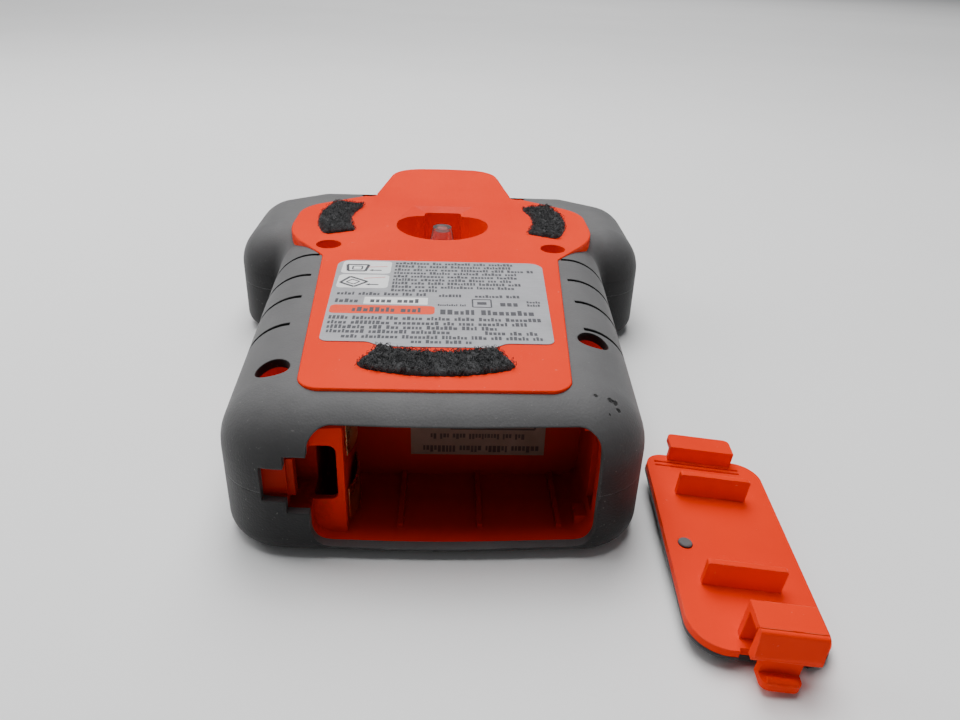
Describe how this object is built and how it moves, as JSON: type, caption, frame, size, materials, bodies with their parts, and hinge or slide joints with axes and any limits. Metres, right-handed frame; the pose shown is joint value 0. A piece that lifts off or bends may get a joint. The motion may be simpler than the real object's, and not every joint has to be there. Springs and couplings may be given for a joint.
{
  "type": "wall laser level",
  "caption": "Hand-held self-levelling wall laser level with rubber grips, hang recess, hook-and-loop patches and its battery door off.",
  "frame": {"origin": "middle of the flat front face, which rests on the surface", "axes": "+Z out of the back (wall) face, +Y from the battery end to the dome, +X to the right seen from the back"},
  "size_m": [0.1459, 0.2293, 0.0374],
  "materials": {
    "orange_plastic": "satin",
    "red_tray": "satin",
    "switch_plastic": "satin",
    "grey_rubber": "matt",
    "contact_brass": "satin",
    "sticker": "matt paper",
    "label": "satin film",
    "loop_fabric": "fuzzy",
    "clear_plastic": "clear",
    "steel": "zinc plated",
    "black_plastic": "matt",
    "board_green": "solder mask",
    "cast_alloy": "as cast",
    "copper": "bare"
  },
  "bodies": {
    "housing": {"rear_shell": "orange_plastic", "rear_overmould": "grey_rubber", "front_shell": "orange_plastic", "front_overmould": "grey_rubber", "battery_bay": "red_tray", "battery_contacts": "contact_brass", "bay_label": "sticker", "rear_label": "label", "loop_patch_left": "loop_fabric", "loop_patch_right": "loop_fabric", "loop_patch_bottom": "loop_fabric", "hang_cone": "clear_plastic", "housing_screws": "steel", "laser_window_left": "clear_plastic", "laser_window_right": "clear_plastic", "laser_window_top": "clear_plastic", "detent_spring": "steel", "circuit_board": "board_green", "board_screws": "steel", "board_parts": "black_plastic", "slide_contact": "black_plastic", "battery_leads": "black_plastic", "damping_magnet": "steel", "pivot_pin": "steel", "pin_clip": "steel"},
    "switch": {"switch_button": "switch_plastic", "lock_arm": "black_plastic", "brake_pad": "grey_rubber"},
    "pendulum": {"pendulum_frame": "cast_alloy", "clamp_screws": "steel", "laser_barrel_left": "contact_brass", "laser_barrel_right": "contact_brass", "laser_barrel_top": "contact_brass", "line_lens_left": "clear_plastic", "line_lens_right": "clear_plastic", "line_lens_top": "clear_plastic", "pendulum_bearing": "steel", "pendulum_weight": "contact_brass", "damping_plate": "copper"},
    "door": {"door_plate": "orange_plastic", "door_skin": "grey_rubber", "door_plug": "grey_rubber"},
    "latch": {"door_latch": "orange_plastic"}
  },
  "joints": [
    {"name": "switch_slide", "type": "slide", "parent": "housing", "child": "switch", "axis": [0, 1, 0], "range_m": [0, 0.006]},
    {"name": "pendulum_swing", "type": "hinge", "parent": "housing", "child": "pendulum", "pos_m": [0, 0.062, 0.015], "axis": [0, 0, 1], "range_deg": [-5, 5]},
    {"name": "door_lift", "type": "slide", "parent": "housing", "child": "door", "axis": [0, 0, 1], "range_m": [0, 0.06]},
    {"name": "latch_flex", "type": "hinge", "parent": "door", "child": "latch", "pos_m": [0.06412, -0.11536, 0.01159], "axis": [0.9938, -0.062, -0.0923], "range_deg": [0, 8], "stiffness_Nm_per_rad": 0.2}
  ]
}
